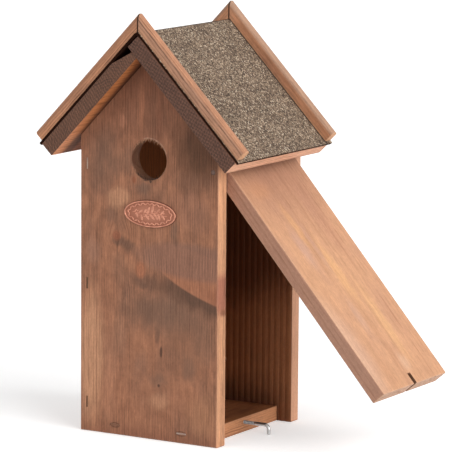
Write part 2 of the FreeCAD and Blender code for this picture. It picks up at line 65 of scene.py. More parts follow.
@dataclass(frozen=True)
class Tint:
    """A colour as it looks on a screen, each part from 0 to 255."""

    red: float
    green: float
    blue: float

    def linear(self) -> tuple[float, float, float, float]:
        """The colour in linear light, opaque."""
        parts = (part / 255.0 for part in (self.red, self.green, self.blue))
        return (*(p / 12.92 if p <= 0.04045 else ((p + 0.055) / 1.055) ** 2.4 for p in parts), 1.0)


ORANGE = Tint(184, 122, 90)
GREY = Tint(120, 90, 73)
UMBER = Tint(103, 75, 60)
PALE = Tint(196, 144, 110)
# a dark brown for mitre seams and for painted shade
SEAM_AND_SHADE = Tint(58, 40, 32)


class Blend(Enum):
    """How one colour is laid over another."""

    COVER = "MIX"
    STAIN = "MULTIPLY"


class Axis(IntEnum):
    """An axis of a board or of a piece: across, through or along it."""

    ACROSS = 0
    DEEP = 1
    ALONG = 2


class Side(IntEnum):
    """A side of the roof, by which way X runs down its slope."""

    RIGHT = 1
    LEFT = -1


class Verge(Enum):
    """An end of the roof."""

    FRONT = "front"
    REAR = "rear"


@dataclass(frozen=True)
class BoardLie:
    """How a board lies: a point of it and the directions across its face and along its grain."""

    origin: Triple = (0.0, 0.0, 0.0)
    across: Triple = ACROSS
    grain: Triple = UP

    def turn(self) -> Matrix:
        """The rotation that brings the board upright, with its grain along Z and its face across X."""
        across, grain = (Vector(way).normalized() for way in (self.across, self.grain))
        return Matrix((across, grain.cross(across), grain))

    def extent(self, piece: Piece) -> tuple[Vector, Vector]:
        """A piece's lowest and highest corners in the board's own millimetres.

        Args:
            piece: The piece to measure.

        Returns:
            The two corners.
        """
        turn, origin = self.turn(), Vector(self.origin)
        points = [turn @ (vertex.co / MM - origin) for vertex in piece.data.vertices]
        low, high = (Vector([pick(parts) for parts in zip(*points)]) for pick in (min, max))
        return low, high


class Nodes:
    """A node tree, with a short call for each kind of node that the finishes use."""

    def __init__(self, tree: bpy.types.NodeTree) -> None:
        """Take over a tree and empty it."""
        self.tree = tree
        tree.nodes.clear()

    def feed(self, socket: Socket, value: object) -> None:
        """Link an output into an input, or set a constant on it.

        Args:
            socket: The input.
            value: Another node's output, a number, a tint or a triple.
        """
        if isinstance(value, Socket):
            self.tree.links.new(value, socket)
        else:
            socket.default_value = value.linear() if isinstance(value, Tint) else value

    def node(self, kind: str, inputs: dict[Union[str, int], object], **settings: object) -> bpy.types.Node:
        """Add a node.

        Args:
            kind: The node's type, without the prefix that all types have.
            inputs: What its inputs are fed, by name or number.
            settings: Attributes to set on it first.

        Returns:
            The new node.
        """
        node = self.tree.nodes.new(f"ShaderNode{kind}")
        for key, setting in settings.items():
            setattr(node, key, setting)
        for key, value in inputs.items():
            self.feed(node.inputs[key], value)
        return node

    def math(self, operation: str, *values: Value, clamp: bool = False) -> Socket:
        """Do arithmetic on up to three numbers, and keep the result from 0 to 1 if it is clamped."""
        return self.node("Math", dict(enumerate(values)), operation=operation, use_clamp=clamp).outputs[0]

    def times(self, first: Value, second: Value) -> Socket:
        """The product of two numbers."""
        return self.math("MULTIPLY", first, second)

    def vector(self, operation: str, *values: Union[Socket, Sequence[float]]) -> Socket:
        """Do arithmetic on one or two vectors."""
        return self.node("VectorMath", dict(enumerate(values)), operation=operation).outputs["Vector"]

    def length(self, vector: Socket) -> Socket:
        """A vector's length."""
        return self.node("VectorMath", {0: vector}, operation="LENGTH").outputs["Value"]

    def split(self, vector: Socket) -> tuple[Socket, Socket, Socket]:
        """The three parts of a vector."""
        return tuple(self.node("SeparateXYZ", {0: vector}).outputs)

    def mapped(self, vector: Socket, location: Sequence[float], turn: Sequence[float], scale: Sequence[float],
               inverse: bool = False) -> Socket:
        """Scale, turn and move a vector, or bring a frame of that size, turn and place back to the origin."""
        inputs = {"Vector": vector, "Location": location, "Rotation": turn, "Scale": scale}
        return self.node("Mapping", inputs, vector_type="TEXTURE" if inverse else "POINT").outputs["Vector"]

    def clouds(self, vector: Socket, across: float, along: float, detail: float = 2.0,
               roughness: float = 0.5) -> bpy.types.Node:
        """Noise with so many clouds in a unit across and along the grain, one as Fac and three as Color."""
        place = self.vector("MULTIPLY", vector, (across, across, along))
        return self.node("TexNoise", {"Vector": place, "Scale": 1.0, "Detail": detail,
                                      "Roughness": roughness})

    def noise(self, *clouds: Value) -> Socket:
        """One cloudy noise, of what clouds() takes."""
        return self.clouds(*clouds).outputs["Fac"]

    def shaken(self, vector: Socket, reach: Triple, *clouds: Value) -> Socket:
        """A vector moved by up to half a reach each way, with noise of what clouds() takes."""
        centred = self.vector("SUBTRACT", self.clouds(*clouds).outputs["Color"], HALF)
        return self.vector("ADD", vector, self.vector("MULTIPLY", centred, reach))

    def fade(self, value: Socket, start: float, end: float, low: float = 0.0, high: float = 1.0) -> Socket:
        """A smooth step from a low number, before its start, to a high one, after its end."""
        inputs = {"Value": value, "From Min": start, "From Max": end, "To Min": low, "To Max": high}
        return self.node("MapRange", inputs, interpolation_type="SMOOTHSTEP").outputs["Result"]

    def sway(self, noise: Socket, amount: float, half: float = 0.25) -> Socket:
        """A factor that follows a noise, half its range each way, from 1 - amount to 1 + amount."""
        return self.fade(noise, 0.5 - half, 0.5 + half, 1.0 - amount, 1.0 + amount)

    def ramp(self, value: Socket, *stops: tuple[float, Union[Tint, float]]) -> Socket:
        """Colours or numbers along a scale.

        Args:
            value: Where on the scale, from 0 to 1.
            stops: Places on the scale and what they show.

        Returns:
            The colour or number.
        """
        node = self.node("ValToRGB", {"Fac": value})
        elements = node.color_ramp.elements
        while len(elements) < len(stops):
            elements.new(0.5)
        for element, (position, shown) in zip(elements, stops):
            element.position = position
            element.color = shown.linear() if isinstance(shown, Tint) else (shown, shown, shown, 1.0)
        return node.outputs["Color"]

    def mix(self, share: Value, first: Union[Socket, Tint], second: Union[Socket, Tint],
            blend: Blend = Blend.COVER) -> Socket:
        """Lay a share, from 0 to 1, of a second colour over a first."""
        inputs = {0: share, 6: first, 7: second}
        return self.node("Mix", inputs, data_type="RGBA", blend_type=blend.value).outputs[2]

    def shade(self, colour: Socket, amount: Socket) -> Socket:
        """A colour made darker or lighter by a number that is 1 for no change."""
        return self.node("VectorMath", {0: colour, "Scale": amount}, operation="SCALE").outputs["Vector"]

    def seen(self) -> Socket:
        """Tell what is seen from what lights the box.

        Returns:
            1 for what the camera sees, directly or in metal and glass, and 0 for the rest.
        """
        rays = self.node("LightPath", {}).outputs
        shown = self.math("MAXIMUM", rays["Is Camera Ray"], rays["Is Glossy Ray"])
        return self.math("MAXIMUM", shown, rays["Is Transmission Ray"])


class Surface(Nodes):
    """A material with one surface shader, read in a board's or the model's own millimetres."""

    def __init__(self, name: str, lie: BoardLie = BoardLie()) -> None:
        """Start the material.

        Args:
            name: Its name.
            lie: How the board that it is for lies.
        """
        self.material = bpy.data.materials.new(name)
        self.material.use_nodes = True
        super().__init__(self.material.node_tree)
        self.shader = self.node("BsdfPrincipled", {})
        self.node("OutputMaterial", {"Surface": self.shader.outputs["BSDF"]})
        self.metres = self.node("TexCoord", {}).outputs["Object"]
        turn = lie.turn()
        shift = -(turn @ Vector(lie.origin))
        self.place = self.mapped(self.metres, shift, turn.to_euler("XYZ"), [1 / MM] * 3)

    def relief(self, height: Socket, depth_mm: float, strength: float) -> Socket:
        """The normals of a surface whose height, from 0 to 1, stands for a depth."""
        inputs = {"Height": height, "Distance": depth_mm * MM, "Strength": strength}
        return self.node("Bump", inputs).outputs["Normal"]

    def cover(self, *pieces: Piece, **inputs: object) -> None:
        """Feed the shader, and put the material on the whole of each piece.

        Args:
            pieces: What to cover.
            inputs: The shader's inputs, named with underscores for spaces.
        """
        for key, value in inputs.items():
            self.feed(self.shader.inputs[key.replace("_", " ")], value)
        for piece in pieces:
            piece.data.materials.clear()
            piece.data.materials.append(self.material)
            for polygon in piece.data.polygons:
                polygon.material_index = 0


@dataclass(frozen=True)
class Mark:
    """A soft-edged patch of another colour on a board, in the board's own millimetres."""

    across: float
    along: float
    half_across: float
    half_along: float
    tint: Tint = GREY
    strength: float = 0.6
    turn: float = 0.0
    core: float = 0.2
    square: bool = False
    deep: float = 0.0
    half_deep: float = THROUGH

    def local(self, nodes: Nodes, place: Socket) -> Socket:
        """A point in the mark's own frame, where the border is one unit from the middle."""
        return nodes.mapped(place, (self.across, self.deep, self.along), (0, radians(self.turn), 0),
                            (self.half_across, self.half_deep, self.half_along), inverse=True)

    def share(self, nodes: Nodes, place: Socket) -> Socket:
        """How strongly the mark shows at a point.

        Args:
            nodes: The material.
            place: The point, in the board's own millimetres.

        Returns:
            The mark's strength in its core, falling to 0 at its border.
        """
        local = self.local(nodes, place)
        if self.square:
            sideways, _, lengthways = nodes.split(nodes.vector("ABSOLUTE", local))
            reach = nodes.math("MAXIMUM", sideways, lengthways)
        else:
            reach = nodes.length(local)
        return nodes.fade(reach, self.core, 1.0, self.strength, 0.0)


@dataclass(frozen=True)
class Knot(Mark):
    """A knot: a ringed oval that the grain flows round."""

    strength: float = 0.8
    sweep: float = 0.5
    rings: float = 15.0
    ring_tone: float = 0.08

    def push(self, nodes: Nodes, local: Socket) -> Socket:
        """How far the grain at a point of the knot's frame is pushed aside."""
        pull = nodes.fade(nodes.length(local), 0.4, 4.0, -self.sweep * self.half_across, 0.0)
        return nodes.node("CombineXYZ", {0: nodes.times(nodes.split(local)[0], pull)}).outputs[0]

    def laid(self, nodes: Nodes, local: Socket, colour: Socket) -> Socket:
        """Lay the knot over a colour.

        Args:
            nodes: The material.
            local: The point, in the knot's frame.
            colour: The colour under the knot.

        Returns:
            The colour.
        """
        near = nodes.length(local)
        body = nodes.fade(near, 0.55, 1.2, self.strength, 0.0)
        waves = nodes.times(nodes.math("SINE", nodes.times(near, self.rings)), body)
        tone = nodes.math("MULTIPLY_ADD", waves, self.ring_tone, 1.0)
        return nodes.shade(nodes.mix(body, colour, self.tint), tone)


class Board(Surface):
    """A board's material, which knows how far each point is inside the board's faces."""

    def __init__(self, piece: Piece, lie: BoardLie) -> None:
        """Start the material and measure the board.

        Args:
            piece: The board.
            lie: How the board lies.
        """
        super().__init__(f"{piece.name}_wood", lie)
        self.inward = []
        for part, low, high in zip(self.split(self.place), *lie.extent(piece)):
            offset = self.math("ABSOLUTE", self.math("SUBTRACT", part, (low + high) / 2))
            self.inward.append(self.math("SUBTRACT", (high - low) / 2, offset))

    def near_face(self, axis: Axis, skin: float) -> Socket:
        """1 on the two faces that are square to an axis, and 0 as deep as a skin inside them."""
        return self.fade(self.inward[axis], 0.4 * skin, skin, 1.0, 0.0)

    def near_rim(self, unevenness: Socket, fray: float = 2.2) -> Socket:
        """How near a point is to the edges between the board's faces.

        Args:
            unevenness: Noise that breaks the edge up.
            fray: By how many millimetres it does so.

        Returns:
            1 on the edges and 0 on the faces.
        """
        across, deep, along = self.inward
        inner = self.math("MINIMUM", self.math("MAXIMUM", across, deep), along)
        second = self.math("MAXIMUM", self.math("MINIMUM", across, deep), inner)
        ragged = self.math("MULTIPLY_ADD", unevenness, -fray, self.math("ADD", second, fray / 2))
        return self.fade(ragged, 0.1, 1.3, 1.0, 0.0)

    def teeth(self, waves: Sequence[tuple[float, float]]) -> Socket:
        """The scratches that a coarse saw leaves on a cut end.

        Args:
            waves: Each row of scratches as waves through and across the board.

        Returns:
            The scratches, from 0 to 1.
        """
        shaken = self.shaken(self.place, (3.4, 3.4, 0.0), self.place, 0.35, 0.35, 3.0, 0.7)
        across, through, _ = self.split(shaken)
        teeth = 1.0
        for slant, pitch in waves:
            wave = self.math("MULTIPLY_ADD", through, slant, self.times(across, pitch))
            teeth = self.times(self.math("SINE", wave), teeth)
        return self.fade(teeth, -0.6, 0.7)

    def patched(self, place: Socket, colour: Socket, marks: Sequence[Mark]) -> Socket:
        """Lay marks over a colour.

        Args:
            place: The point, in the board's own millimetres.
            colour: The colour under the marks.
            marks: The marks, the lowest first.

        Returns:
            The colour.
        """
        for mark in marks:
            colour = self.mix(mark.share(self, place), colour, mark.tint)
        return colour


@dataclass(frozen=True)
class WoodFinish:
    """Stained softwood: growth rings, fibres, uneven stain, worn edges and dark cut ends."""

    early: Tint
    late: Tint
    cloud: Tint
    rim: Tint
    side: Tint
    end: Tint
    end_late: Tint
    ring: float = 1.7
    contrast: float = 0.45
    clouding: float = 0.45
    mottle: float = 0.07
    fibre: float = 0.16
    wander: float = 2.2
    taper: float = 0.0
    pith: tuple[float, float] = (-260.0, 90.0)
    side_share: float = 0.55
    side_skin: float = 0.45
    end_share: float = 1.0
    end_skin: float = 0.35
    rim_share: float = 0.35
    relief_mm: float = 0.12
    roughness: float = 0.68
    shine: float = 0.3
    saw_marks: float = 0.0
    saw_waves: tuple[tuple[float, float], ...] = ((0.8, 1.7), (-1.5, 0.8))
    seam: float = 0.0
    bore: Optional[Mark] = None
    plain: Optional[Mark] = None

    def dress(self, piece: Piece, lie: BoardLie, knots: Sequence[Knot] = (), torn_marks: Sequence[Mark] = (),
              patches: Sequence[Mark] = (), edges: Sequence[Mark] = ()) -> Piece:
        """Give a board this finish.

        Args:
            piece: The board.
            lie: How the board lies.
            knots: Its knots.
            torn_marks: Its marks with torn borders.
            patches: Its marks with clean borders, over the stains.
            edges: Its marks that cover the sides too.

        Returns:
            The board.
        """
        board = Board(piece, lie)
        bent = self._bent(board)
        ovals = [(knot, knot.local(board, bent)) for knot in knots]
        swept = bent
        for knot, local in ovals:
            swept = board.vector("ADD", swept, knot.push(board, local))

        torn = board.shaken(bent, (8.0, 8.0, 14.0), board.place, 1 / 8, 1 / 14, 4.0, 0.65)
        colour = board.patched(torn, self._stain(board, bent), torn_marks)
        colour = board.patched(board.place, colour, patches)
        side = board.near_face(Axis.ACROSS, self.side_skin)
        colour = board.mix(board.times(side, self.side_share), colour, self.side)
        colour = board.patched(board.place, colour, edges)
        for knot, local in ovals:
            colour = knot.laid(board, local, colour)

        late = self._rings(board, swept)
        fibre = board.noise(swept, 1.1, 0.06, 3.0, 0.6)
        fine = board.noise(board.place, 0.9, 0.45, 3.0, 0.7)
        tone = board.sway(fibre, self.fibre)
        if self.plain:
            calm = board.math("SUBTRACT", 1.0, self.plain.share(board, swept))
            late = board.times(late, calm)
            tone = board.math("MULTIPLY_ADD", board.math("SUBTRACT", tone, 1.0), calm, 1.0)
        tone = board.times(tone, board.sway(fine, 0.1))
        colour = board.mix(board.times(late, self.contrast), colour, self.late, Blend.STAIN)
        colour = board.shade(colour, tone)
        colour = board.mix(board.times(board.near_rim(fine), self.rim_share), colour, self.rim)

        cut = board.times(board.near_face(Axis.ALONG, self.end_skin), self.end_share)
        pores = board.noise(board.place, 1.6, 0.4, 3.0, 0.7)
        end = board.mix(board.times(late, 0.75), self.end, self.end_late)
        end = board.shade(end, board.sway(pores, 0.3))
        height = board.math("MULTIPLY_ADD", late, 0.5, board.times(fibre, 0.7))
        height = board.math("MULTIPLY_ADD", board.times(pores, cut), 1.2, height)
        if self.saw_marks:
            teeth = board.teeth(self.saw_waves)
            scratched = board.math("MULTIPLY_ADD", teeth, self.saw_marks, 1.0 - self.saw_marks / 2)
            end = board.shade(end, scratched)
            height = board.math("MULTIPLY_ADD", teeth, cut, height)
        colour = board.mix(cut, colour, end)
        if self.bore:
            wall = board.shade(board.mix(late, self.bore.tint, self.end_late), tone)
            colour = board.mix(self._bore_wall(board, fine), colour, wall)
        if self.seam:
            apart = board.math("ABSOLUTE", board.split(board.metres)[0])
            colour = board.mix(board.fade(apart, 0.3 * MM, self.seam * MM, 0.92, 0.0), colour, SEAM_AND_SHADE)

        rough = board.math("MULTIPLY_ADD", fibre, -0.14, self.roughness + 0.07)
        normal = board.relief(height, self.relief_mm, 0.8)
        board.cover(piece, Base_Color=colour, Roughness=rough, Specular_IOR_Level=self.shine, Normal=normal)
        return piece

    def _bent(self, board: Board) -> Socket:
        """The board's points, moved a little by the wood's long waves and short curls."""
        waved = board.shaken(board.place, (self.wander, self.wander, 6.0), board.place, 1 / 30, 1 / 150, 3.0)
        return board.shaken(waved, (1.3, 1.3, 0.0), board.place, 1 / 7, 1 / 24, 2.0)

    def _stain(self, board: Board, bent: Socket) -> Socket:
        """The wood's own colour under its marks and grain.

        Args:
            board: The material.
            bent: The point, moved by the wood's waves.

        Returns:
            The colour.
        """
        broad = board.noise(bent, 1 / 30, 1 / 55, 4.0, 0.55)
        small = board.noise(bent, 1 / 7, 1 / 13, 3.0, 0.6)
        colour = board.mix(board.fade(broad, 0.4, 0.7, 0.0, self.clouding), self.early, self.cloud)
        return board.shade(colour, board.sway(small, self.mottle, 0.2))

    def _rings(self, board: Board, swept: Socket) -> Socket:
        """The dark late wood of the growth rings.

        Args:
            board: The material.
            swept: The point, moved by the waves and knots.

        Returns:
            How much of it is dark, from 0 to 1.
        """
        from_pith = board.vector("SUBTRACT", swept, (*self.pith, 0.0))
        radius = board.length(board.vector("MULTIPLY", from_pith, (1.0, 1.0, self.taper)))
        spread = board.noise(swept, 1 / 14, 1 / 400, 1.0)
        rings = board.math("MULTIPLY_ADD", spread, 2.4, board.math("DIVIDE", radius, self.ring))
        late = board.ramp(board.math("FRACT", rings), (0.0, 0.1), (0.4, 0.05), (0.82, 1.0), (1.0, 0.1))
        dice = board.node("TexWhiteNoise", {"W": board.math("FLOOR", rings)}, noise_dimensions="1D")
        each = board.fade(dice.outputs["Value"], 0.0, 1.0, 0.45, 1.15)
        patchy = board.noise(board.place, 1 / 9, 1 / 26, 3.0, 0.6)
        weight = board.times(each, board.fade(patchy, 0.32, 0.68, 0.25, 1.3))
        return board.math("MULTIPLY", late, weight, clamp=True)

    def _bore_wall(self, board: Board, unevenness: Socket) -> Socket:
        """1 on the wall and the unevenly frayed rim of the board's round hole, and 0 on its faces."""
        far = board.math("MULTIPLY_ADD", unevenness, -0.12, board.length(self.bore.local(board, board.place)))
        return board.fade(far, 0.96, 1.02, self.bore.strength, 0.0)


@dataclass(frozen=True)
class FeltFinish:
    """Bitumen felt: packed mineral granules on top, a black cut edge, a sanded back and a line of painted
    shade where the rear strip stands.
    """

    slope: float
    ridge: float
    top: float
    middle: float
    length: float
    crease: float
    thick: float = 2.2
    granule: float = 0.95
    bitumen: Tint = Tint(38, 19, 11)
    backing: Tint = Tint(104, 71, 57)
    granules: tuple[tuple[float, Tint], ...] = (
        (0.0, Tint(60, 46, 38)), (0.22, Tint(86, 69, 56)), (0.48, Tint(118, 98, 81)),
        (0.74, Tint(145, 123, 102)), (0.9, Tint(175, 153, 129)), (1.0, Tint(212, 195, 172)))

    def dress(self, piece: Piece) -> Piece:
        """Give the felt this finish.

        Args:
            piece: The felt sheet.

        Returns:
            The sheet.
        """
        felt = Surface("mineral_felt")
        ragged = felt.shaken(felt.place, (0.7, 0.7, 0.7), felt.place, 1.4, 1.4, 2.0)
        small = felt.vector("MULTIPLY", ragged, [1 / self.granule] * 3)
        cells = felt.node("TexVoronoi", {"Vector": small, "Scale": 1.0, "Randomness": 1.0}).outputs
        distance, pick = cells["Distance"], felt.split(cells["Color"])[0]
        colour = felt.ramp(pick, *self.granules)
        colour = felt.shade(colour, felt.sway(felt.noise(felt.place, 1 / 18, 1 / 18, 3.0), 0.1, 0.2))
        colour = felt.shade(colour, felt.fade(distance, 0.25, 0.75, 1.08, 0.62))

        side, depth, up = felt.split(felt.place)
        angle = radians(self.slope)
        rise = felt.times(felt.math("SUBTRACT", up, self.ridge), cos(angle))
        above = felt.math("MULTIPLY_ADD", felt.math("ABSOLUTE", side), sin(angle), rise)
        deep = felt.fade(above, self.top - 0.75, self.top - 0.35, 1.0, 0.0)
        from_middle = felt.math("ABSOLUTE", felt.math("SUBTRACT", depth, self.middle))
        verge = felt.fade(from_middle, self.length / 2 - 0.3, self.length / 2 - 0.1)
        cut = felt.math("MAXIMUM", deep, verge)
        colour = felt.mix(cut, colour, self.bitumen)
        under = self.top - self.thick
        sanded = felt.times(verge, felt.fade(above, under + 0.35, under + 0.75, 1.0, 0.0))
        colour = felt.mix(felt.times(sanded, felt.fade(side, 0.0, 4.0)), colour, self.backing)
        # painted shade: a dark line on the felt along the foot of the rear strip
        painted_strip_shade = felt.times(felt.fade(depth, self.crease - 2.8, self.crease - 0.9, 0.0, 0.95),
                          felt.fade(depth, self.crease + 0.3, self.crease + 1.5, 1.0, 0.0))
        colour = felt.mix(painted_strip_shade, colour, self.bitumen)

        lump = felt.times(felt.fade(distance, 0.1, 0.8, 1.0, 0.0), felt.fade(pick, 0.0, 1.0, 0.55, 1.0))
        felt.cover(piece, Base_Color=colour, Roughness=0.86, Normal=felt.relief(lump, 0.55, 0.9),
                   Specular_IOR_Level=felt.math("MULTIPLY_ADD", cut, -0.27, 0.3))
        return piece


@dataclass(frozen=True)
class Thread:
    """A screw thread round a level axis along X, in millimetres."""

    height: float
    end: float
    root: float
    crest: float

    def hollows(self, metal: Surface) -> Socket:
        """Find the thread's hollows, where shade is painted.

        Args:
            metal: The material.

        Returns:
            1 in the hollows and 0 on the crests and the plain wire.
        """
        along = metal.split(metal.place)[0]
        level = metal.vector("MULTIPLY", metal.place, (0.0, 1.0, 1.0))
        around = metal.length(metal.vector("SUBTRACT", level, (0.0, 0.0, self.height)))
        deep = metal.fade(around, self.root, self.crest, 1.0, 0.0)
        return metal.times(deep, metal.fade(along, self.end - 0.4, self.end, 1.0, 0.0))


@dataclass(frozen=True)
class MetalFinish:
    """Metal with drawing lines or a beaten skin, dull patches, dull sunken hollows and painted shade in a
    thread's hollows.
    """

    name: str
    bright: Tint
    dull: Tint
    roughness: float = 0.34
    dulling: float = 0.5
    metallic: float = 1.0
    grain_mm: float = 0.8
    relief_mm: float = 0.03
    face: Optional[float] = None
    thread: Optional[Thread] = None
    rust: Optional[tuple[Axis, float]] = None

    def dress(self, *pieces: Piece) -> list[Piece]:
        """Give pieces this finish.

        Args:
            pieces: What to dress.

        Returns:
            The pieces.
        """
        metal = Surface(self.name)
        parts = metal.split(metal.place)
        blotch = metal.noise(metal.place, 0.22, 0.22, 4.0, 0.6)
        skin = metal.noise(metal.place, 1 / self.grain_mm, 1 / self.grain_mm, 3.0, 0.6)
        wear_and_shade = metal.fade(blotch, 0.38, 0.68, 0.0, self.dulling)
        if self.face is not None:
            sunk = metal.fade(parts[Axis.DEEP], self.face + 0.12, self.face + 0.5)
            wear_and_shade = metal.math("MAXIMUM", metal.times(wear_and_shade, 0.5), metal.times(sunk, 0.8))
        if self.thread is not None:
            # painted shade in the thread's hollows
            wear_and_shade = metal.math("MAXIMUM", wear_and_shade, self.thread.hollows(metal))
        if self.rust is not None:
            axis, border = self.rust
            wear_and_shade = metal.math("MAXIMUM", wear_and_shade, metal.fade(parts[axis], border, border + 1.0, 1.0, 0.0))
        colour = metal.mix(wear_and_shade, self.bright, self.dull)
        colour = metal.shade(colour, metal.fade(skin, 0.2, 0.8, 0.92, 1.06))
        rough = metal.math("MULTIPLY_ADD", blotch, 0.3, self.roughness - 0.12)
        normal = metal.relief(skin, self.relief_mm, 0.7)
        metal.cover(*pieces, Base_Color=colour, Roughness=rough, Metallic=self.metallic, Normal=normal)
        return list(pieces)


def finished(shape: Shape, name: str, smooth: bool = True) -> Piece:
    """Make a shape into a piece.

    Args:
        shape: The shape, in metres, which is used up.
        name: The piece's name.
        smooth: Whether its curves are smooth, with sharp corners.

    Returns:
        The piece.
    """
    mesh = bpy.data.meshes.new(name)
    shape.to_mesh(mesh)
    shape.free()
    if smooth:
        mesh.shade_smooth()
        mesh.set_sharp_from_angle(angle=radians(SHARP_CORNER))
    piece = bpy.data.objects.new(name, mesh)
    bpy.context.scene.collection.objects.link(piece)
    return piece


def packed(name: str) -> Piece:
    """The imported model's object of that name."""
    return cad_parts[name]


def toward(azimuth: float, elevation: float) -> Vector:
    """The way from the box, round from the front toward the door and up, both in degrees."""
    around, above = radians(azimuth), radians(elevation)
    return Vector((sin(around) * cos(above), -cos(around) * cos(above), sin(above)))


PANEL_WOOD = WoodFinish(
    early=Tint(162, 110, 82), late=Tint(158, 146, 140), cloud=Tint(122, 87, 69), rim=Tint(182, 134, 105),
    side=Tint(201, 148, 111), end=Tint(150, 100, 74), end_late=Tint(104, 66, 48),
    ring=2.2, contrast=0.48, clouding=0.7, fibre=0.17, side_share=0.9, mottle=0.1)
FRAY_WOOD = replace(
    PANEL_WOOD, early=Tint(168, 120, 92), clouding=0.8, side_share=0.0, end_share=0.0, rim_share=0.0)
FRONT_WOOD = replace(
    PANEL_WOOD, fibre=0.2, mottle=0.16, bore=Mark(0.0, ENTRANCE_HEIGHT, 15.7, 15.7, Tint(118, 82, 62), 0.95),
    plain=Mark(14.0, 64.0, 50.0, 50.0, strength=0.5, core=0.5))
INNER_WOOD = WoodFinish(
    early=Tint(150, 90, 52), late=Tint(140, 124, 114), cloud=Tint(116, 68, 40), rim=Tint(160, 108, 74),
    side=Tint(210, 158, 127), end=Tint(140, 92, 66), end_late=Tint(96, 60, 42),
    ring=2.1, contrast=0.32, clouding=0.4, fibre=0.08, side_share=0.85)
FLOOR_WOOD = WoodFinish(
    early=Tint(152, 95, 56), late=Tint(150, 130, 116), cloud=Tint(120, 74, 46), rim=Tint(186, 136, 102),
    side=Tint(196, 138, 98), end=Tint(140, 92, 66), end_late=Tint(96, 60, 42),
    ring=2.3, contrast=0.7, pith=(40.0, -70.0), side_share=0.7)
DOOR_WOOD = WoodFinish(
    early=Tint(190, 142, 108), late=Tint(200, 184, 172), cloud=Tint(176, 131, 104), rim=Tint(205, 160, 128),
    side=Tint(168, 124, 103), end=Tint(196, 156, 130), end_late=Tint(160, 116, 90),
    ring=4.2, contrast=0.46, clouding=0.6, fibre=0.075, pith=(-30.0, 75.0), taper=0.1, side_share=0.85,
    mottle=0.055)
RIGHT_ROOF_WOOD = WoodFinish(
    early=Tint(116, 65, 36), late=Tint(150, 130, 118), cloud=Tint(92, 52, 30), rim=Tint(150, 108, 84),
    side=Tint(228, 176, 145), end=Tint(97, 66, 52), end_late=Tint(68, 45, 36),
    ring=2.2, contrast=0.7, pith=(20.0, 160.0), side_share=0.9, rim_share=0.15, relief_mm=0.2, saw_marks=0.6)
LEFT_ROOF_WOOD = replace(
    RIGHT_ROOF_WOOD, end=Tint(104, 71, 54), saw_marks=0.5, saw_waves=((0.6, 2.6), (0.5, 0.33)),
    pith=(60.0, -40.0))
STRIP_WOOD = WoodFinish(
    early=Tint(203, 145, 108), late=Tint(132, 114, 104), cloud=Tint(148, 105, 83), rim=Tint(206, 156, 120),
    side=Tint(160, 108, 80), end=Tint(206, 158, 122), end_late=Tint(168, 116, 84),
    ring=1.5, contrast=0.75, clouding=0.85, wander=1.4, pith=(-30.0, 60.0), side_share=0.3, mottle=0.12,
    seam=1.0)
REAR_STRIP_WOOD = replace(STRIP_WOOD, contrast=0.35)
NEAR_STRIP_WOOD = replace(STRIP_WOOD, side=Tint(172, 134, 112), side_share=0.5)


